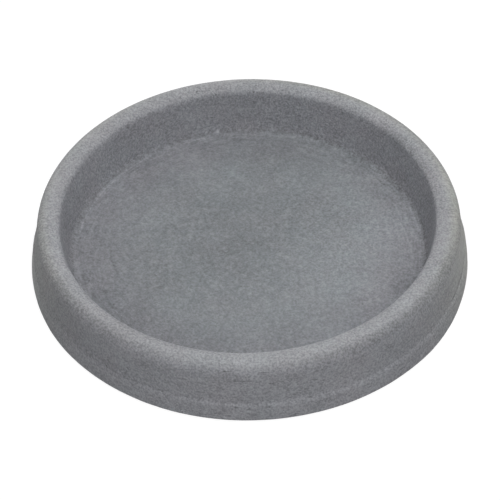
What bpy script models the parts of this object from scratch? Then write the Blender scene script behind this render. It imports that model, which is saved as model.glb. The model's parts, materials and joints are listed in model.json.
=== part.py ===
"""Round plant saucer with a thick rim: one plastic moulding, hollow under the rim and open underneath.

Metres, +Z up. The origin is the centre of the ring that the saucer stands on.
"""

import math

import bmesh
import bpy
from mathutils import Matrix, Vector

# Outer wall: it flares towards the ground, and a low ledge parts it from the band below
BASE_DIAMETER = 0.260
HEIGHT = 0.0354
WALL_FLARE = math.radians(9.3)
LEDGE_HEIGHT = 0.0107
LEDGE_STEP = 0.0012

# Rim: level on its outer half, and falling towards the dish on its inner half
RIM_WIDTH = 0.0137
RIM_FALL_WIDTH = 0.0050
RIM_FALL = math.radians(25)

# Dish
DISH_DRAFT = math.radians(6.2)
FLOOR_THICKNESS = 0.0030
FLOOR_CLEARANCE = 0.0012

# Thickness of the walls and of the rim's top
SKIN = 0.0030

# Rounding of the edges
SHOULDER_RADIUS = 0.0060
CROWN_RADIUS = 0.0160
INNER_EDGE_RADIUS = 0.0028
FLOOR_FILLET = 0.0026
LEDGE_RADIUS = 0.0006
SHARP_EDGE_RADIUS = 0.0003

# Fineness of the mesh
SEGMENTS = 72
ARC_ERROR = 0.00005
WELD_DISTANCE = 0.000001
SHARP_ANGLE = math.radians(35)

# Finish
GREY = (0.194, 0.200, 0.209, 1.0)
ROUGHNESS = 0.85


class Line:
    """A line in the half section, through a point and along a direction, with the material on its right."""

    def __init__(self, point, direction):
        self.point = Vector(point)
        self.direction = Vector(direction).normalized()

    def behind(self, thickness):
        """The parallel line on the other face of the material."""
        right = Vector((self.direction.y, -self.direction.x))
        return Line(self.point + right * thickness, self.direction)

    def meets(self, other):
        """The point where the two lines cross."""
        gap = other.point - self.point
        along = gap.cross(other.direction) / self.direction.cross(other.direction)
        return self.point + self.direction * along


def clear_scene():
    for item in list(bpy.data.objects):
        bpy.data.objects.remove(item, do_unlink=True)


def half_section():
    """The corners of the section, each with its rounding, from the floor's centre over the rim and back."""
    base_radius = BASE_DIAMETER / 2
    floor_height = FLOOR_CLEARANCE + FLOOR_THICKNESS
    down_the_wall = (math.sin(WALL_FLARE), -math.cos(WALL_FLARE))

    # The faces that show, in the order in which the section runs
    floor = Line((0, floor_height), (1, 0))
    top = Line((0, HEIGHT), (1, 0))
    wall = Line((base_radius - LEDGE_STEP, 0), down_the_wall)
    ledge = Line((0, LEDGE_HEIGHT), (1, 0))
    band = Line((base_radius, 0), down_the_wall)
    ground = Line((0, 0), (-1, 0))

    # The rim's width is measured at its two corners, before they are rounded
    outer_corner = top.meets(wall)
    mouth_radius = outer_corner.x - RIM_WIDTH
    crown = Vector((mouth_radius + RIM_FALL_WIDTH, HEIGHT))
    fall = Line(crown, (math.cos(RIM_FALL), math.sin(RIM_FALL)))
    inner_corner = fall.meets(Line((mouth_radius, 0), (0, 1)))
    dish_wall = Line(inner_corner, (math.sin(DISH_DRAFT), math.cos(DISH_DRAFT)))

    # The faces underneath
    under_wall = wall.behind(SKIN)
    under_top = top.behind(SKIN)
    under_fall = fall.behind(SKIN)
    under_dish_wall = dish_wall.behind(SKIN)
    under_floor = floor.behind(FLOOR_THICKNESS)

    def under(radius):
        return max(radius - SKIN, SHARP_EDGE_RADIUS)

    return [
        (floor.point, 0),
        (floor.meets(dish_wall), FLOOR_FILLET),
        (inner_corner, INNER_EDGE_RADIUS),
        (crown, CROWN_RADIUS),
        (outer_corner, SHOULDER_RADIUS),
        (wall.meets(ledge), SHARP_EDGE_RADIUS),
        (ledge.meets(band), LEDGE_RADIUS),
        (band.meets(ground), SHARP_EDGE_RADIUS),
        (ground.meets(under_wall), SHARP_EDGE_RADIUS),
        (under_wall.meets(under_top), under(SHOULDER_RADIUS)),
        (under_top.meets(under_fall), under(CROWN_RADIUS)),
        (under_fall.meets(under_dish_wall), under(INNER_EDGE_RADIUS)),
        (under_dish_wall.meets(under_floor), FLOOR_FILLET + SKIN),
        (under_floor.point, 0),
    ]


def rounded(corners):
    """The section's points, with an arc at each corner that is no longer than its two sides have room for."""
    places = [place for place, _ in corners]
    sides = [end - start for start, end in zip(places, places[1:])]
    turns = [0] + [side.angle_signed(following) for side, following in zip(sides, sides[1:])] + [0]
    setbacks = [radius * math.tan(abs(turn) / 2) for (_, radius), turn in zip(corners, turns)]
    wanted = [before + after for before, after in zip(setbacks, setbacks[1:])]
    room = [1] + [min(1, side.length / length) for side, length in zip(sides, wanted)] + [1]

    points = [places[0]]
    for index in range(1, len(corners) - 1):
        share = min(room[index], room[index + 1])
        radius = corners[index][1] * share
        way_in = sides[index - 1].normalized()
        start = places[index] - way_in * setbacks[index] * share
        inward = Vector((way_in.y, -way_in.x)) * math.copysign(radius, turns[index])
        steps = arc_steps(radius, abs(turns[index]))
        for step in range(steps + 1):
            swing = Matrix.Rotation(-turns[index] * step / steps, 2)
            points.append(start + inward - swing @ inward)
    return points + [places[-1]]


def arc_steps(radius, turn):
    """How many straight steps keep an arc within the allowed error."""
    step = 2 * math.acos(max(0, 1 - ARC_ERROR / radius))
    return max(1, math.ceil(turn / step))


def plastic():
    """Matt stone-grey plastic."""
    material = bpy.data.materials.new("saucer_plastic")
    material.use_nodes = True
    shader = material.node_tree.nodes["Principled BSDF"]
    shader.inputs["Base Color"].default_value = GREY
    shader.inputs["Roughness"].default_value = ROUGHNESS
    shader.inputs["Metallic"].default_value = 0.0
    material.diffuse_color = GREY
    return material


def saucer():
    """The half section spun round the vertical axis."""
    shape = bmesh.new()
    points = [shape.verts.new((place.x, 0, place.y)) for place in rounded(half_section())]
    edges = [shape.edges.new(ends) for ends in zip(points, points[1:])]
    bmesh.ops.spin(shape, geom=points + edges, axis=(0, 0, 1), angle=math.tau, steps=SEGMENTS)
    bmesh.ops.remove_doubles(shape, verts=shape.verts, dist=WELD_DISTANCE)
    bmesh.ops.recalc_face_normals(shape, faces=shape.faces)
    mesh = bpy.data.meshes.new("saucer")
    shape.to_mesh(mesh)
    shape.free()
    mesh.shade_smooth()
    mesh.set_sharp_from_angle(angle=SHARP_ANGLE)
    mesh.materials.append(plastic())
    body = bpy.data.objects.new("saucer", mesh)
    bpy.context.collection.objects.link(body)


clear_scene()
saucer()
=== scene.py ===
"""Looks of the plant saucer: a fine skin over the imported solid, sandy grey plastic, lights and camera."""

import json
import math
from typing import NamedTuple

import bmesh
import bpy
import numpy as np
from mathutils import Matrix, Vector, noise


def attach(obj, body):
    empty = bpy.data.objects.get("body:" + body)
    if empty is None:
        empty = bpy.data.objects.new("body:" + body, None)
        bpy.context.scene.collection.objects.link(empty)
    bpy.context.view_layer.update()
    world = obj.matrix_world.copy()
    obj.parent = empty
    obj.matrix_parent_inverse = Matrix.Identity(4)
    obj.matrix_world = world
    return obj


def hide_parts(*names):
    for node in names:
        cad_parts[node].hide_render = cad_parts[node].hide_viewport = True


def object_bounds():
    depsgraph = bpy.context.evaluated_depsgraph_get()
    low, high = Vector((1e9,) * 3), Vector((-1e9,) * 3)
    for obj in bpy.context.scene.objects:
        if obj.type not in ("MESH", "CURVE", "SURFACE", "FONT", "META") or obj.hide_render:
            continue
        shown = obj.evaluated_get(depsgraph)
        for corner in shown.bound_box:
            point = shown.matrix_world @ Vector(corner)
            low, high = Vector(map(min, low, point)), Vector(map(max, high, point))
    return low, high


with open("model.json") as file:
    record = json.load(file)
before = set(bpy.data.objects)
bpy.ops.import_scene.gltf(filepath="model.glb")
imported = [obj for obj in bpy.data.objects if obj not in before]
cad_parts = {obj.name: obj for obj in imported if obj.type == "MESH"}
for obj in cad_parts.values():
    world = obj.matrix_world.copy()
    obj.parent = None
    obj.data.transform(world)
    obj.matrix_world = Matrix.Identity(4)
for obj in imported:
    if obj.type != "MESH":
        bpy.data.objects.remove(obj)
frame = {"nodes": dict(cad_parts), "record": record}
cad_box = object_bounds()

SAUCER = "saucer"


class WornEdge(NamedTuple):
    """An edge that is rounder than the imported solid's; its wear is a share by direction in degrees."""

    place: tuple
    reach: float
    width: float
    wear: dict


class Bulge(NamedTuple):
    """A bulge or dent of the outer wall; its heights are where it is full and where it has faded out."""

    direction: float
    spread: float
    size: float
    heights: tuple


class Line(NamedTuple):
    """A line round the saucer; its spots change its contrast, and a noise can break it up."""

    measured: str
    place: float
    half_width: float
    zone: str
    contrast: float
    spots: tuple = ()
    broken_by: str = ""


# Fineness of the skin, in metres
WELD = 0.000002
SAMPLING = 0.0001
SMOOTHING = 0.00035
BELL_REACH = 3
FINE_STEP = 0.0006
WIDE_STEP = 0.0025
BEND = 0.02
SEGMENTS = 400

# The first points of the skin, on the axis
TOP_MIDDLE = 0
BOTTOM_MIDDLE = 1
AXIS_POINTS = 2

# Places on the saucer, in metres
MOUNTS = {mount["name"]: mount["pos_m"] for mount in frame["record"]["mounts"]}
FLOOR_TOP = MOUNTS["pot_seat"][2]
RIM_TOP = cad_box[1][2]
FLOOR_EDGE = 0.1045
WALL_FOOT = 0.1075
LEDGE_HEIGHT = 0.0107
OUTSIDE = 0.1180

# Worn edges: radius and height, reach, width of the rounding, and how worn in which direction
WORN_EDGES = {
    "ledge": WornEdge(
        (0.1285, LEDGE_HEIGHT), 0.0028, 0.0012,
        {180: 1.0, 200: 0.0, 235: 0.0, 260: 1.0, 285: 1.0, 310: 0.8, 335: 0.9},
    ),
    "faded_ledge": WornEdge(
        (0.1285, LEDGE_HEIGHT), 0.0050, 0.0032,
        {180: 0.0, 200: 1.0, 235: 1.0, 260: 0.0, 285: 0.0, 310: 0.2, 335: 0.1},
    ),
    "mouth": WornEdge(
        (0.1095, 0.0330), 0.0060, 0.0018,
        {0: 0.0, 60: 0.0, 90: 0.4, 120: 0.7, 270: 1.0, 330: 0.3},
    ),
    "shoulder": WornEdge(
        (0.1235, 0.0340), 0.0080, 0.0030,
        {0: 0.0, 203: 0.0, 232: 1.0, 345: 1.0},
    ),
    "corner": WornEdge(
        (0.1050, 0.0055), 0.0085, 0.0024,
        {0: 1.0},
    ),
}

# How far the dish is out of round: waves round it, their height in metres, and the direction of a crest
FLOOR_WAVES = ((1, 0.0004, 180),)
MOUTH_WAVES = ((0, 0.00040, 0), (1, 0.00092, 134), (2, 0.00070, 30), (3, 0.00013, 357))
DISH_RADII = (0.1120, 0.1210)

# Bulges and dents of the outer wall: direction and spread in degrees, size in metres, and heights
FOOT = (0.0020, 0.0110)
LOW = (0.0080, 0.0220)
HIGH = (0.0340, 0.0200)
BULGES = (
    Bulge(5, 6, 0.00042, LOW),
    Bulge(54, 32, 0.00034, HIGH),
    Bulge(174, 9, 0.00016, LOW),
    Bulge(192, 12, -0.00020, LOW),
    Bulge(215, 10, 0.00020, FOOT),
    Bulge(303, 16, 0.00020, FOOT),
    Bulge(324, 12, 0.00060, FOOT),
)

# Unevenness of the moulding, in metres: the size of its waves, and their height
BROAD_WAVE = 0.012
BROAD_RELIEF = 0.00006
FINE_WAVE = 0.0045
FINE_RELIEF = 0.00005
LEDGE_WAVE = 0.0040
LEDGE_RELIEF = 0.00028
LEDGE_REACH = 0.0014

# Parts of the surface, by radius and by height: where each fades in, is full, starts to fade and ends
NO_START = (-2, -1)
NO_END = (1, 2)
ANY = (*NO_START, *NO_END)
ZONES = {
    "floor": ((*NO_START, FLOOR_EDGE, WALL_FOOT), (0.0030, 0.0040, 0.0048, 0.0072)),
    "floor_edge": ((0.0800, 0.0980, 0.1040, 0.1080), (0.0030, 0.0040, 0.0060, 0.0080)),
    "dish_wall": ((0.1020, 0.1040, 0.1100, 0.1115), (0.0040, 0.0055, 0.0290, 0.0330)),
    "rim": (ANY, (0.0310, 0.0352, *NO_END)),
    "rim_slope": ((0.1060, 0.1080, 0.1120, 0.1160), (0.0300, 0.0320, *NO_END)),
    "shoulder": ((0.1168, 0.1200, *NO_END), (0.0285, 0.0330, *NO_END)),
    "outer_wall": ((0.1165, 0.1205, *NO_END), (*NO_START, 0.0290, 0.0310)),
    "foot": ((0.1165, 0.1205, *NO_END), (*NO_START, 0.0085, 0.0115)),
    "outer_side": ((0.1145, 0.1210, *NO_END), ANY),
}

# Colours of the plastic. A spot, here and below, has its middle, its reach, and its level in the middle
WALL_GREY = (0.288, 0.292, 0.314, 1)
RIM_GREY = (0.333, 0.338, 0.355, 1)
FLOOR_GREY = (0.242, 0.257, 0.272, 1)
FLOOR_EDGE_GREY = (0.242, 0.247, 0.266, 1)
FLOOR_GREY_RADII = (0.055, 0.095)
COOL_FLOOR_EDGE = (((0.050, 0.078, FLOOR_TOP), 0.100, -0.80),)

# How the red in the colours drifts from place to place, and where less blue gives a painted warm tint of the
# light on the outer side and the back of the rim
HUE_SIZE = 0.022
HUE_DRIFT = 0.014
HUE_SHIFT = (0.53, 0.41, 0.37)
PAINTED_WARM_TINT = (
    ((-0.130, -0.020, 0.015), 0.085, -0.064),
    ((0.130, 0.000, 0.015), 0.110, -0.110),
    ((0.055, 0.110, 0.035), 0.110, -0.085),
    ((-0.085, 0.085, 0.035), 0.090, -0.045),
)

# Sandy grain of the plastic: sizes in metres, and shares by which it lightens and darkens the colour
NOISE_SPAN = (0.25, 0.75)
GRAIN = 0.0012
GRAIN_ROUGHNESS = 0.6
WALL_GRAIN_CONTRAST = 0.29
FLOOR_GRAIN_CONTRAST = 0.215
ROUGHER_FLOOR = (((0.072, 0.015, FLOOR_TOP), 0.085, 0.07),)
CLUMP = 0.0028
CLUMP_LEVELS = (0.40, 0.75)
CLUMP_SHADES = (-0.45, 1.55)
WALL_CLUMP_CONTRAST = 0.055
FLOOR_CLUMP_CONTRAST = 0.105
DISH_WALL_CLUMP_CONTRAST = 0.04
MOTTLE = 0.018
MOTTLE_CONTRAST = 0.05

# Specks: spacing and radius in metres, the share of places that have one, and its contrast
SPECK_CORE = 0.4
FLECKS = (0.0050, 0.0007, 0.35, 0.24)
FLECK_SHIFT = (0.31, 0.17, 0.23)
PITS = (0.0080, 0.0008, 0.35, -0.28)
EDGE_PITS = (0.0022, 0.0008, 0.90, -0.30)
EDGE_PIT_SPOTS = (((0.003, 0.1105, 0.033), 0.080, 1.0),)

# Drawn-out marks: short dashes along the outer wall, and streaks round the edge of the floor
DASH_LENGTH = 0.0060
DASH_FLATNESS = 10.0
DASH_DETAIL = 1.0
DASH_LEVELS = (0.66, 0.74)
DASH_CONTRAST = -0.26
FLOW_LENGTH = 0.011
FLOW_WIDTH = 0.0013
FLOW_CONTRAST = 0.13

# Soft spots on each part: some stains, and painted light and shade where the lamps light the saucer unevenly
STAINS_AND_PAINTED_LIGHT = {
    # Partly stains, partly painted shade on the floor at the foot of the wall on the right and back right
    "floor": (
        ((0.061, -0.022, FLOOR_TOP), 0.075, 0.16),
        ((0.084, 0.026, FLOOR_TOP), 0.045, 0.20),
        ((-0.058, -0.060, FLOOR_TOP), 0.055, -0.05),
        ((0.0, 0.0, FLOOR_TOP), 0.070, -0.17),
        ((0.086, 0.004, FLOOR_TOP), 0.036, 0.10),
        ((0.058, 0.058, FLOOR_TOP), 0.042, 0.20),
        ((-0.030, 0.074, FLOOR_TOP), 0.036, 0.14),
        ((0.044, -0.076, FLOOR_TOP), 0.028, 0.10),
        ((-0.055, -0.005, FLOOR_TOP), 0.050, -0.08),
        ((-0.010, -0.049, FLOOR_TOP), 0.045, 0.05),
        ((-0.081, -0.057, FLOOR_TOP), 0.045, -0.07),
        ((0.091, -0.033, FLOOR_TOP), 0.018, -0.18),
        ((0.090, 0.050, FLOOR_TOP), 0.026, -0.14),
        ((-0.034, -0.090, FLOOR_TOP), 0.042, -0.09),
        ((0.060, 0.020, FLOOR_TOP), 0.018, -0.12),
        ((-0.028, 0.044, FLOOR_TOP), 0.036, -0.07),
        ((0.076, -0.036, FLOOR_TOP), 0.018, 0.11),
        ((0.068, 0.076, FLOOR_TOP), 0.018, -0.19),
        ((0.036, 0.044, FLOOR_TOP), 0.036, -0.08),
        ((-0.074, 0.030, FLOOR_TOP), 0.040, 0.08),
    ),
    # Painted shade on the dish's wall, most on its right and left sides, with a little painted light at the
    # back
    "dish_wall": (
        ((0.0, 0.106, 0.016), 0.300, -0.06),
        ((0.106, -0.004, 0.016), 0.060, -0.17),
        ((-0.106, -0.005, 0.016), 0.060, -0.09),
        ((0.053, 0.092, 0.016), 0.050, 0.05),
        ((0.090, 0.058, 0.020), 0.045, -0.08),
        ((-0.040, 0.100, 0.027), 0.045, 0.05),
    ),
    # Painted shade on the rim's inner slope at the back right and the front left
    "rim_slope": (
        ((0.097, 0.052, 0.034), 0.085, -0.16),
        ((-0.060, -0.098, 0.034), 0.080, -0.10),
    ),
    # Painted shade and light on the rim's top, moving its highlight
    "rim": (
        ((-0.066, -0.096, 0.035), 0.075, -0.07),
        ((0.075, 0.090, 0.035), 0.070, 0.05),
    ),
    # Painted shade on the shoulder at the front right, front left and back right, and painted light on it at
    # the right
    "shoulder": (
        ((0.080, -0.091, 0.033), 0.090, -0.28),
        ((0.112, -0.052, 0.033), 0.035, -0.12),
        ((-0.098, -0.074, 0.033), 0.090, -0.17),
        ((0.124, 0.004, 0.032), 0.045, 0.10),
        ((0.078, 0.095, 0.034), 0.090, -0.20),
    ),
    # A pool of painted light on the outer wall at the right, and painted shade at the front right
    "outer_wall": (
        ((0.127, -0.015, 0.020), 0.052, 0.29),
        ((0.098, -0.083, 0.014), 0.040, -0.08),
    ),
    # Painted light on the foot at the left
    "foot": (
        ((-0.129, -0.014, 0.003), 0.050, 0.26),
    ),
}

# Pale marks in the floor's corner and under the mouth's edge, and a nick in that edge
PALE_MARKS = (
    ((-0.0189, 0.1037, 0.0058), 0.0024, 0.75),
    ((-0.0262, 0.1024, 0.0061), 0.0017, 0.55),
    ((-0.0264, 0.0963, 0.0042), 0.0017, 0.35),
    ((0.0408, 0.0959, 0.0049), 0.0017, 0.35),
    ((0.0364, 0.0978, 0.0050), 0.0015, 0.30),
    ((0.1030, 0.0365, 0.0289), 0.0018, 0.16),
    ((0.1040, 0.0340, 0.0290), 0.0018, 0.16),
)
NICKS = (((-0.0740, 0.0812, 0.0306), 0.0024, -0.35),)

# Scratches along the outer wall, and a faint arc rubbed into the floor
SCRATCH_FLATNESS = 14.0
SCRATCHES = (
    ((-0.0069, -0.1243, 0.0262), 0.0078, -0.33),
    ((0.0079, -0.1233, 0.0314), 0.0060, -0.35),
    ((-0.0139, -0.1225, 0.0319), 0.0045, -0.30),
)
SCUFF_MIDDLE = (-0.0225, 0.0050, 0)
SCUFF_RADIUS = 0.0607
SCUFF_HALF_WIDTH = 0.0012
SCUFF_SPOTS = (((-0.0795, -0.0130, FLOOR_TOP), 0.028, -0.20),)

# Lines round the saucer, measured outward by radius or upward by height: tool rings, and painted highlights
# and shade along the floor's corner, the rim's crest and the ledge, which is partly worn
LEDGE_HALF_WIDTH = 0.0009
CREASE_HEIGHT = LEDGE_HEIGHT + 0.0009
RING_RADII = (0.0405, 0.0820, 0.1005)
TOOL_RINGS = tuple(
    Line("radius", radius, 0.0010, "floor", -0.06, broken_by="mottle") for radius in RING_RADII
)
# Painted highlight along the floor's corner, where the fillet catches the light
PAINTED_CORNER_HIGHLIGHT = Line(
    "radius", 0.1032, 0.0008, "floor_edge", 0.05,
    (((-0.1000, 0.0330, FLOOR_TOP), 0.045, 0.21),),
    broken_by="clump",
)
# Painted shade on the floor at the foot of the dish's wall, darkest at the right and back right
PAINTED_FLOOR_CORNER_SHADE = Line(
    "radius", 0.1012, 0.0045, "floor_edge", 0.0,
    (((0.0951, 0.0346, FLOOR_TOP), 0.050, -0.14), ((0.0650, 0.0775, FLOOR_TOP), 0.040, -0.08)),
)
# Painted shade in the corner at the foot of the dish's wall
PAINTED_WALL_FOOT_SHADE = Line(
    "height", FLOOR_TOP + 0.0018, 0.0030, "dish_wall", -0.20,
    (
        ((-0.1050, 0.0150, 0.0060), 0.050, 0.12),
        ((0.0840, 0.0650, 0.0060), 0.040, 0.10),
        ((0.0530, 0.0920, 0.0080), 0.035, -0.07),
        ((-0.0100, 0.1060, 0.0080), 0.045, -0.06),
    ),
)
# Painted highlight along the rim's crest
PAINTED_CREST_HIGHLIGHT = Line(
    "radius", 0.1190, 0.0025, "rim", 0.04,
    (((0.090, 0.078, 0.035), 0.075, 0.06),),
)
# A lighter line on the ledge's edge: partly wear, partly a painted highlight where it faces the light above
LEDGE_WEAR_AND_HIGHLIGHT = Line(
    "height", LEDGE_HEIGHT - 0.0004, LEDGE_HALF_WIDTH, "outer_wall", 0.07,
    (((-0.1120, -0.0620, 0.0103), 0.080, -0.06), ((0.0990, -0.0810, 0.0103), 0.050, -0.17)),
    broken_by="clump",
)
# Painted shade in the crease above the ledge
PAINTED_CREASE_SHADE = Line(
    "height", CREASE_HEIGHT, LEDGE_HALF_WIDTH, "outer_wall", -0.12,
    broken_by="mottle",
)
# Deeper painted shade in the crease above the ledge at the front right
PAINTED_DEEP_CREASE_SHADE = Line(
    "height", CREASE_HEIGHT, LEDGE_HALF_WIDTH, "outer_wall", 0.0,
    (((0.1220, -0.0360, 0.0116), 0.030, -0.55), ((0.0860, -0.0960, 0.0116), 0.040, 0.08)),
)
# Painted shade on the outer wall just above the ledge at the front left
PAINTED_LEDGE_SHADE = Line(
    "height", LEDGE_HEIGHT + 0.0022, 0.0065, "outer_wall", 0.0,
    (((-0.0930, -0.0870, 0.0117), 0.092, -0.15), ((-0.0100, -0.1290, 0.0117), 0.045, -0.07)),
)
LINES = (
    *TOOL_RINGS, PAINTED_CORNER_HIGHLIGHT, PAINTED_FLOOR_CORNER_SHADE, PAINTED_WALL_FOOT_SHADE,
    PAINTED_CREST_HIGHLIGHT, LEDGE_WEAR_AND_HIGHLIGHT, PAINTED_CREASE_SHADE, PAINTED_DEEP_CREASE_SHADE, PAINTED_LEDGE_SHADE,
)

# Levels of a noise between which a line that it breaks up comes and goes
BREAKS = {"clump": (0.35, 0.60), "mottle": (0.35, 0.65)}

# Relief of the grain: its depth in metres, and how much its clumps and the single marks count in it
BUMP_DEPTH = 0.0006
CLUMP_RELIEF = 0.6
MARK_RELIEF = 1.5

# Shine of the plastic, from the grain's hollows to its tops
ROUGHNESS = (0.74, 0.86)

# The floor that the saucer stands on: what it gives back as light, and what the camera sees of it
GROUND_BOUNCE = (0.4, 0.4, 0.4, 1)
GROUND_SHADOW = (0.25, 0.25, 0.25, 1)
GROUND_GLOW = (0.84, 1.0)
GROUND_GLOW_RADII = (0.4, 1.5)
GROUND_REACH = 6.0
GROUND_GAP = 0.0003
WHITE = (1, 1, 1, 1)

# Softboxes round the saucer: azimuth and elevation in degrees, and power in watts
LIGHT_DISTANCE = 1.2
LIGHT_SIZE = 0.7
SOFTBOXES = {
    "overhead_light": (0, 90, 5.4),
    "key_light": (290, 65, 3.4),
    "front_light": (270, 25, 4.2),
    "right_light": (12, 14, 1.7),
    "back_right_light": (45, 25, 2.5),
    "back_light": (90, 20, 2.3),
    "back_left_light": (135, 25, 3.2),
}

# Camera, fitted to the photograph's outlines
IMAGE_SIZE = 500
SENSOR = 36.0
CAMERA_DISTANCE = 1.0
CAMERA_ELEVATION = math.radians(44.84)
CAMERA_ROLL = math.radians(1.03)
FOCAL_PIXELS = 1670.3
ORIGIN_RIGHT_OF_CENTRE = -0.66
ORIGIN_BELOW_CENTRE = 2.16


def section_of(node):
    """The node's half section as (radius, height) points, from the floor's centre over the rim and back."""
    shape = bmesh.new()
    shape.from_mesh(node.data)
    bmesh.ops.remove_doubles(shape, verts=shape.verts, dist=WELD)
    cut = {vert for vert in shape.verts if abs(vert.co.y) < WELD and vert.co.x > WELD}

    def neighbours(vert):
        return cut & {edge.other_vert(vert) for edge in vert.link_edges}

    here = max((vert for vert in cut if len(neighbours(vert)) == 1), key=lambda vert: vert.co.z)
    points = [(0.0, here.co.z)]
    while here:
        points.append((here.co.x, here.co.z))
        cut.remove(here)
        here = next(iter(neighbours(here)), None)
    points.append((0.0, points[-1][1]))
    shape.free()
    return np.array(points)


def even_steps(points, step):
    """The same line as points about one step apart."""
    lengths = np.hypot(*np.diff(points, axis=0).T)
    along = np.concatenate([[0], np.cumsum(lengths)])
    places = np.linspace(0, along[-1], int(along[-1] / step) + 1)
    return np.stack([np.interp(places, along, column) for column in points.T], axis=1)


def smoothed(points, step, width):
    """The line with its corners eased by a bell curve of this width; its ends stay where they are."""
    reach = int(BELL_REACH * width / step)
    weights = np.exp(-0.5 * (np.arange(-reach, reach + 1) * step / width) ** 2)
    weights /= weights.sum()
    padded = np.pad(points, ((reach, reach), (0, 0)), mode="reflect", reflect_type="odd")
    return np.stack([np.convolve(column, weights, mode="valid") for column in padded.T], axis=1)


def eased_section():
    """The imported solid's section with its corners eased, and what full wear changes at each worn edge."""
    exact = even_steps(section_of(frame["nodes"][SAUCER]), SAMPLING)
    section = smoothed(exact, SAMPLING, SMOOTHING)
    changes = {}
    for name, edge in WORN_EDGES.items():
        closeness = np.exp(-((np.hypot(*(exact - edge.place).T) / edge.reach) ** 2))
        changes[name] = (smoothed(exact, SAMPLING, edge.width) - section) * closeness[:, None]
    kept = stations(section, SAMPLING)
    return section[kept], {name: change[kept] for name, change in changes.items()}


def stations(points, step):
    """Which points of the line to keep: close together where it bends, far apart where it is straight."""
    kept = [0]
    gap = 0.0
    ahead = int(WIDE_STEP / step)
    for index in range(1, len(points) - 1):
        gap += step
        low = max(index - ahead, 0)
        high = min(index + ahead, len(points) - 1)
        before = points[index] - points[low]
        after = points[high] - points[index]
        turn = abs(math.atan2(before[0] * after[1] - before[1] * after[0], before @ after))
        wanted = FINE_STEP if turn > BEND else WIDE_STEP
        if gap >= wanted:
            kept.append(index)
            gap = 0.0
    return kept + [len(points) - 1]


def relief(place):
    """Unevenness of the moulded surface, in metres along its normal."""
    broad = noise.noise(place / BROAD_WAVE) * BROAD_RELIEF
    fine = noise.noise(place / FINE_WAVE) * FINE_RELIEF
    if math.hypot(place.x, place.y) < OUTSIDE:
        return broad + fine
    closeness = math.exp(-(((place.z - LEDGE_HEIGHT) / LEDGE_REACH) ** 2))
    return broad + fine + noise.noise(place / LEDGE_WAVE) * LEDGE_RELIEF * closeness


def wave_height(waves, direction):
    """The sum of these waves in this direction."""
    heights = []
    for count, height, crest in waves:
        heights.append(height * math.cos(math.radians(count * (direction - crest))))
    return sum(heights)


def out_of_true(radii, heights, direction):
    """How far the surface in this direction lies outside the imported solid's, at these radii and heights."""
    outside = np.clip((radii - DISH_RADII[0]) / (DISH_RADII[1] - DISH_RADII[0]), 0, 1)
    outside = outside * outside * (3 - 2 * outside)
    at_floor = wave_height(FLOOR_WAVES, direction)
    at_mouth = wave_height(MOUTH_WAVES, direction)
    dish = np.interp(heights, (FLOOR_TOP, RIM_TOP), (at_floor, at_mouth))
    wall = np.zeros_like(radii)
    for bulge in BULGES:
        full, none = bulge.heights
        turn = (direction - bulge.direction + 180) % 360 - 180
        size = bulge.size * math.exp(-((turn / bulge.spread) ** 2))
        wall += size * np.clip((heights - none) / (full - none), 0, 1)
    return dish * (1 - outside) + wall * outside


def profile(section, changes, direction):
    """The section in this direction, in degrees round the axis."""
    line = section.copy()
    for name, change in changes.items():
        wear = WORN_EDGES[name].wear
        line += change * np.interp(direction, list(wear), list(wear.values()), period=360)
    line[:, 0] += out_of_true(*line.T, direction)
    return line


def skin_points(section, changes):
    """The two ends of the section on the axis, and then the points of one turned section after another."""
    points = [(0, 0, section[0][1]), (0, 0, section[-1][1])]
    for step in range(SEGMENTS):
        angle = math.tau * step / SEGMENTS
        direction = Vector((math.cos(angle), math.sin(angle), 0))
        line = profile(section, changes, math.degrees(angle))
        slopes = np.gradient(line, axis=0)
        slopes /= np.hypot(*slopes.T)[:, None]
        for (radius, height), (outward, upward) in list(zip(line, slopes))[1:-1]:
            place = direction * radius + Vector((0, 0, height))
            place += (Vector((0, 0, outward)) - direction * upward) * relief(place)
            points.append((place.x, place.y, max(place.z, 0.0)))
    return points


def skin_faces(rings):
    """The faces between one turned section and the next, with this many points in each."""
    faces = []
    for step in range(SEGMENTS):
        start = AXIS_POINTS + rings * step
        end = AXIS_POINTS + rings * ((step + 1) % SEGMENTS)
        faces.append((TOP_MIDDLE, start, end))
        for ring in range(rings - 1):
            faces.append((start + ring, start + ring + 1, end + ring + 1, end + ring))
        faces.append((start + rings - 1, BOTTOM_MIDDLE, end + rings - 1))
    return faces


def skin(section, changes):
    """The section turned round the axis, with its worn edges and the unevenness of a moulding."""
    rings = len(section) - AXIS_POINTS
    mesh = bpy.data.meshes.new("saucer_skin")
    mesh.from_pydata(skin_points(section, changes), [], skin_faces(rings))
    mesh.shade_smooth()
    piece = bpy.data.objects.new("saucer_skin", mesh)
    bpy.context.scene.collection.objects.link(piece)
    return piece


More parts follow.
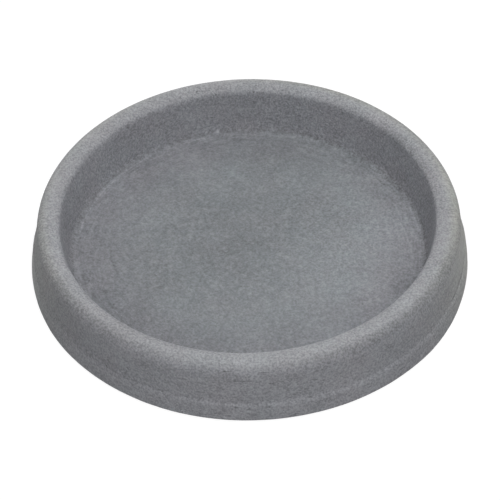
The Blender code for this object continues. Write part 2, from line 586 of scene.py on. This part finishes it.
class Graph:
    """Short calls for making the nodes of a material or a world and linking them."""

    # Places of the colour sockets on a Mix node
    MIX_SHARE = 0
    MIX_FIRST = 6
    MIX_SECOND = 7
    MIX_RESULT = 2

    def __init__(self, owner):
        owner.use_nodes = True
        self.tree = owner.node_tree
        self.tree.nodes.clear()

    def add(self, kind, inputs=None, **settings):
        """A new node of this kind, with its settings made and its inputs fed."""
        node = self.tree.nodes.new(kind)
        for name, value in settings.items():
            setattr(node, name, value)
        for name, value in (inputs or {}).items():
            self.feed(node.inputs[name], value)
        return node

    def feed(self, socket, value):
        """Links another node's socket to this one, or sets its value."""
        if isinstance(value, bpy.types.NodeSocket):
            self.tree.links.new(value, socket)
        else:
            socket.default_value = value

    def math(self, operation, first, second=0.0):
        """The result of one operation on two values."""
        node = self.add("ShaderNodeMath", {0: first, 1: second}, operation=operation)
        return node.outputs[0]

    def total(self, *values):
        """The sum of the values."""
        result = values[0]
        for value in values[1:]:
            result = self.math("ADD", result, value)
        return result

    def product(self, *values):
        """The product of the values."""
        result = values[0]
        for value in values[1:]:
            result = self.math("MULTIPLY", result, value)
        return result

    def step(self, value, low, high, start=0.0, end=1.0):
        """A smooth step from start, where the value is low, to end, where it is high."""
        node = self.add(
            "ShaderNodeMapRange",
            {"Value": value, "From Min": low, "From Max": high, "To Min": start, "To Max": end},
            interpolation_type="SMOOTHSTEP",
        )
        return node.outputs["Result"]

    def band(self, value, middle, reach):
        """1 where the value is at the middle, falling smoothly to 0 at this distance from it."""
        distance = self.math("ABSOLUTE", self.math("SUBTRACT", value, middle))
        return self.step(distance, reach, 0.0)

    def within(self, value, limits):
        """1 between the two middle limits, fading to 0 at the outer ones."""
        start, full, fading, end = limits
        return self.product(self.step(value, start, full), self.step(value, end, fading))

    def spread(self, noise_level, contrast):
        """Noise from 0 to 1 as a change of shade, up and down by the contrast."""
        return self.product(self.step(noise_level, *NOISE_SPAN, -1, 1), contrast)

    def stretched(self, place, factors):
        """The place with each coordinate times its factor."""
        node = self.add("ShaderNodeVectorMath", {0: place, 1: factors}, operation="MULTIPLY")
        return node.outputs[0]

    def shifted(self, place, offset):
        """The place moved by the offset."""
        node = self.add("ShaderNodeVectorMath", {0: place, 1: offset}, operation="ADD")
        return node.outputs[0]

    def scaled(self, vector, share):
        """The vector or colour times one share."""
        node = self.add("ShaderNodeVectorMath", {0: vector, "Scale": share}, operation="SCALE")
        return node.outputs[0]

    def distance(self, place, middle=(0, 0, 0)):
        """How far the place lies from this middle."""
        offset = self.shifted(place, [-value for value in middle])
        return self.add("ShaderNodeVectorMath", {0: offset}, operation="LENGTH").outputs["Value"]

    def spots(self, place, marks, ground_level=0.0):
        """The sum of soft round marks, each with its middle, its reach and its level in the middle."""
        levels = [ground_level]
        for middle, reach, level in marks:
            levels.append(self.step(self.distance(place, middle), reach, 0.0, 0.0, level))
        return self.total(*levels)

    def noise(self, place, size, detail=2.0, roughness=0.5):
        """Noise from 0 to 1 with features of about this size."""
        node = self.add(
            "ShaderNodeTexNoise",
            {"Vector": place, "Scale": 1 / size, "Detail": detail, "Roughness": roughness},
        )
        return node.outputs["Fac"]

    def specks(self, place, spacing, radius, share, level):
        """This level on spots of this radius, in a share of the cells of this spacing, and 0 elsewhere."""
        cells = self.add("ShaderNodeTexVoronoi", {"Vector": place, "Scale": 1 / spacing}).outputs
        spot = self.step(cells["Distance"], radius / spacing, SPECK_CORE * radius / spacing, 0.0, level)
        chance = self.add("ShaderNodeSeparateColor", {0: cells["Color"]}).outputs[0]
        return self.product(spot, self.math("LESS_THAN", chance, share))

    def mix(self, share, first, second):
        """The first colour, and the second where the share is 1."""
        sockets = {self.MIX_SHARE: share, self.MIX_FIRST: first, self.MIX_SECOND: second}
        node = self.add("ShaderNodeMix", sockets, data_type="RGBA")
        return node.outputs[self.MIX_RESULT]

    def seen(self):
        """1 for what the camera sees, also in a reflection or through glass, and 0 for light on its way."""
        rays = self.add("ShaderNodeLightPath").outputs
        result = rays["Is Camera Ray"]
        for name in ("Is Glossy Ray", "Is Transmission Ray"):
            result = self.math("MAXIMUM", result, rays[name])
        return result


class Surface(Graph):
    """The plastic's nodes, with where on the saucer a point lies and the noises that its texture shares."""

    def __init__(self, owner):
        super().__init__(owner)
        self.place = self.add("ShaderNodeTexCoord").outputs["Object"]
        self.from_axis = self.stretched(self.place, (1, 1, 0))
        self.radius = self.distance(self.from_axis)
        self.height = self.add("ShaderNodeSeparateXYZ", {0: self.place}).outputs[2]
        self.zones = {
            name: self.product(self.within(self.radius, radii), self.within(self.height, heights))
            for name, (radii, heights) in ZONES.items()
        }
        self.grain = self.noise(self.place, GRAIN, roughness=GRAIN_ROUGHNESS)
        self.clump = self.noise(self.place, CLUMP)
        self.mottle = self.noise(self.place, MOTTLE)


def texture_shade(surface):
    """The sandy grain, its clumps and a broad mottle."""
    floor = surface.zones["floor"]
    floor_grain_contrast = surface.spots(surface.place, ROUGHER_FLOOR, FLOOR_GRAIN_CONTRAST)
    grain_contrast = surface.step(floor, 0, 1, WALL_GRAIN_CONTRAST, floor_grain_contrast)
    clump_contrast = surface.total(
        surface.step(floor, 0, 1, WALL_CLUMP_CONTRAST, FLOOR_CLUMP_CONTRAST),
        surface.product(surface.zones["dish_wall"], DISH_WALL_CLUMP_CONTRAST),
    )
    return surface.total(
        surface.spread(surface.grain, grain_contrast),
        surface.product(surface.step(surface.clump, *CLUMP_LEVELS, *CLUMP_SHADES), clump_contrast),
        surface.spread(surface.mottle, MOTTLE_CONTRAST),
    )


def flow_shade(surface):
    """Streaks round the edge of the floor: noise that is drawn out round the axis, not across the edge."""
    outward = surface.add("ShaderNodeVectorMath", {0: surface.from_axis}, operation="NORMALIZE").outputs[0]
    round_the_edge = surface.scaled(outward, FLOOR_EDGE * FLOW_WIDTH / FLOW_LENGTH)
    across_it = surface.add("ShaderNodeCombineXYZ", {2: surface.radius}).outputs[0]
    streaks = surface.noise(surface.shifted(round_the_edge, across_it), FLOW_WIDTH)
    return surface.product(surface.spread(streaks, FLOW_CONTRAST), surface.zones["floor_edge"])


def fleck_and_pit_shade(surface):
    """Pale and dark specks, denser along the mouth's edge at the back, and the single marks."""
    place = surface.place
    pitted_edge = surface.product(surface.spots(place, EDGE_PIT_SPOTS), surface.zones["rim_slope"])
    return surface.total(
        surface.specks(surface.shifted(place, FLECK_SHIFT), *FLECKS),
        surface.spots(place, PALE_MARKS),
        surface.specks(place, *PITS),
        surface.product(surface.specks(place, *EDGE_PITS), pitted_edge),
        surface.spots(place, NICKS),
    )


def scratch_shade(surface):
    """Dashes and scratches along the outer wall: noise and spots, flattened by stretching the height."""
    flat_place = surface.stretched(surface.place, (1, 1, DASH_FLATNESS))
    streaks = surface.noise(flat_place, DASH_LENGTH, DASH_DETAIL)
    on_wall = surface.product(surface.step(streaks, *DASH_LEVELS), surface.zones["outer_wall"])
    dashes = surface.product(on_wall, DASH_CONTRAST)
    flat_place = surface.stretched(surface.place, (1, 1, SCRATCH_FLATNESS))
    marks = [((x, y, z * SCRATCH_FLATNESS), reach, level) for (x, y, z), reach, level in SCRATCHES]
    return surface.total(dashes, surface.spots(flat_place, marks))


def scuff_shade(surface):
    """A faint arc on the floor."""
    arc = surface.band(surface.distance(surface.from_axis, SCUFF_MIDDLE), SCUFF_RADIUS, SCUFF_HALF_WIDTH)
    return surface.product(arc, surface.spots(surface.place, SCUFF_SPOTS), surface.zones["floor"])


def stain_and_painted_light_shade(surface):
    """Soft spots, each kept to its part of the saucer: some stains, and painted light and shade."""
    stains_and_painted_light = []
    for name, marks in STAINS_AND_PAINTED_LIGHT.items():
        stains_and_painted_light.append(surface.product(surface.spots(surface.place, marks), surface.zones[name]))
    return surface.total(*stains_and_painted_light)


def line_shade(surface):
    """Lines round the saucer: tool rings, and painted highlights and shade at the corners, the crest and the
    ledge.
    """
    measures = {"radius": surface.radius, "height": surface.height}
    noises = {"clump": surface.clump, "mottle": surface.mottle}
    breaks = {name: surface.step(noises[name], *levels) for name, levels in BREAKS.items()}
    shades = []
    for line in LINES:
        band = surface.band(measures[line.measured], line.place, line.half_width)
        level = surface.spots(surface.place, line.spots, line.contrast)
        shade = surface.product(band, surface.zones[line.zone], level)
        if line.broken_by:
            shade = surface.product(shade, breaks[line.broken_by])
        shades.append(shade)
    return surface.total(*shades)


def plastic_colour(surface):
    """The grey of each part, with a drift of its red from place to place and less blue outside: a painted
    warm tint of light.
    """
    place = surface.place
    zones = surface.zones
    cool_edge = surface.spots(place, COOL_FLOOR_EDGE)
    at_edge = surface.total(surface.step(surface.radius, *FLOOR_GREY_RADII), cool_edge)
    floor_grey = surface.mix(at_edge, FLOOR_GREY, FLOOR_EDGE_GREY)
    wall_grey = surface.mix(zones["rim"], WALL_GREY, RIM_GREY)
    grey = surface.mix(zones["floor"], wall_grey, floor_grey)
    drift = surface.spread(surface.noise(surface.shifted(place, HUE_SHIFT), HUE_SIZE), HUE_DRIFT)
    # Less blue on the outer side and the back of the rim: a painted warm tint of light
    warm_tint = surface.product(surface.spots(place, PAINTED_WARM_TINT), zones["outer_side"])
    tint = surface.add(
        "ShaderNodeCombineXYZ",
        {0: surface.total(1.0, drift), 1: 1.0, 2: surface.total(1.0, warm_tint)},
    )
    return surface.stretched(grey, tint.outputs[0])


def sandy_plastic():
    """Matt grey plastic with a sandy grain: a darker, cooler floor and a pale rim."""
    material = bpy.data.materials.new("saucer_plastic")
    surface = Surface(material)
    marks = surface.total(fleck_and_pit_shade(surface), scratch_shade(surface))
    shade = surface.total(
        1.0,
        texture_shade(surface),
        flow_shade(surface),
        marks,
        scuff_shade(surface),
        line_shade(surface),
        stain_and_painted_light_shade(surface),
    )
    bump_height = surface.total(
        surface.grain,
        surface.product(surface.clump, CLUMP_RELIEF),
        surface.product(marks, MARK_RELIEF),
    )
    bump = surface.add("ShaderNodeBump", {"Height": bump_height, "Strength": 1.0, "Distance": BUMP_DEPTH})
    shader = surface.add(
        "ShaderNodeBsdfPrincipled",
        {
            "Base Color": surface.scaled(plastic_colour(surface), shade),
            "Roughness": surface.step(surface.grain, *NOISE_SPAN, *ROUGHNESS),
            "Normal": bump.outputs[0],
        },
    )
    surface.add("ShaderNodeOutputMaterial", {"Surface": shader.outputs[0]})
    return material


def white_ground():
    """A wide pale floor that shows white and keeps the saucer's shadow."""
    material = bpy.data.materials.new("white_ground")
    graph = Graph(material)
    bounce = graph.add("ShaderNodeBsdfDiffuse", {"Color": GROUND_BOUNCE})
    shadow = graph.add("ShaderNodeBsdfDiffuse", {"Color": GROUND_SHADOW})
    from_saucer = graph.distance(graph.add("ShaderNodeTexCoord").outputs["Object"])
    brightness = graph.step(from_saucer, *GROUND_GLOW_RADII, *GROUND_GLOW)
    glow = graph.add("ShaderNodeEmission", {"Strength": brightness})
    shown = graph.add("ShaderNodeAddShader", {0: shadow.outputs[0], 1: glow.outputs[0]})
    surface = graph.add("ShaderNodeMixShader", {0: graph.seen(), 1: bounce.outputs[0], 2: shown.outputs[0]})
    graph.add("ShaderNodeOutputMaterial", {"Surface": surface.outputs[0]})
    return material


def ground():
    """One wide square just under the saucer."""
    sides = [(-1, -1), (1, -1), (1, 1), (-1, 1)]
    corners = [(x * GROUND_REACH, y * GROUND_REACH, -GROUND_GAP) for x, y in sides]
    mesh = bpy.data.meshes.new("ground")
    mesh.from_pydata(corners, [], [range(len(corners))])
    mesh.materials.append(white_ground())
    piece = bpy.data.objects.new("ground", mesh)
    bpy.context.scene.collection.objects.link(piece)


def softbox(name, azimuth, elevation, power):
    """A square area light aimed at the saucer."""
    light = bpy.data.lights.new(name, "AREA")
    light.shape = "SQUARE"
    light.size = LIGHT_SIZE
    light.energy = power
    lamp = bpy.data.objects.new(name, light)
    tilt = Matrix.Rotation(math.radians(90 - elevation), 4, "X")
    swing = Matrix.Rotation(math.radians(azimuth + 90), 4, "Z")
    lamp.matrix_world = swing @ tilt @ Matrix.Translation((0, 0, LIGHT_DISTANCE))
    bpy.context.scene.collection.objects.link(lamp)


def studio_world():
    """Plain white where the camera, or a reflection, looks past the floor, and no light of its own."""
    world = bpy.data.worlds.new("studio")
    graph = Graph(world)
    white = graph.add("ShaderNodeBackground", {"Color": WHITE, "Strength": graph.seen()})
    graph.add("ShaderNodeOutputWorld", {"Surface": white.outputs[0]})
    bpy.context.scene.world = world


def camera():
    """The photograph's camera: it looks along +Y and down, turned a little about its own axis."""
    right = Vector((1, 0, 0))
    up = Vector((0, math.sin(CAMERA_ELEVATION), math.cos(CAMERA_ELEVATION)))
    back = right.cross(up)
    turn = Matrix.Rotation(CAMERA_ROLL, 3, -back)
    right = turn @ right
    up = turn @ up
    metres_per_pixel = CAMERA_DISTANCE / FOCAL_PIXELS
    target = (up * ORIGIN_BELOW_CENTRE - right * ORIGIN_RIGHT_OF_CENTRE) * metres_per_pixel
    lens = bpy.data.cameras.new("camera")
    lens.sensor_width = SENSOR
    lens.lens = FOCAL_PIXELS / IMAGE_SIZE * SENSOR
    viewer = bpy.data.objects.new("camera", lens)
    axes = Matrix((right, up, back)).transposed().to_4x4()
    viewer.matrix_world = Matrix.Translation(target + back * CAMERA_DISTANCE) @ axes
    bpy.context.scene.collection.objects.link(viewer)
    bpy.context.scene.camera = viewer


saucer = skin(*eased_section())
saucer.data.materials.append(sandy_plastic())
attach(saucer, "root")
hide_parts(SAUCER)

ground()
for name, (azimuth, elevation, power) in SOFTBOXES.items():
    softbox(name, azimuth, elevation, power)
studio_world()
camera()
bpy.context.scene.view_settings.view_transform = "Standard"
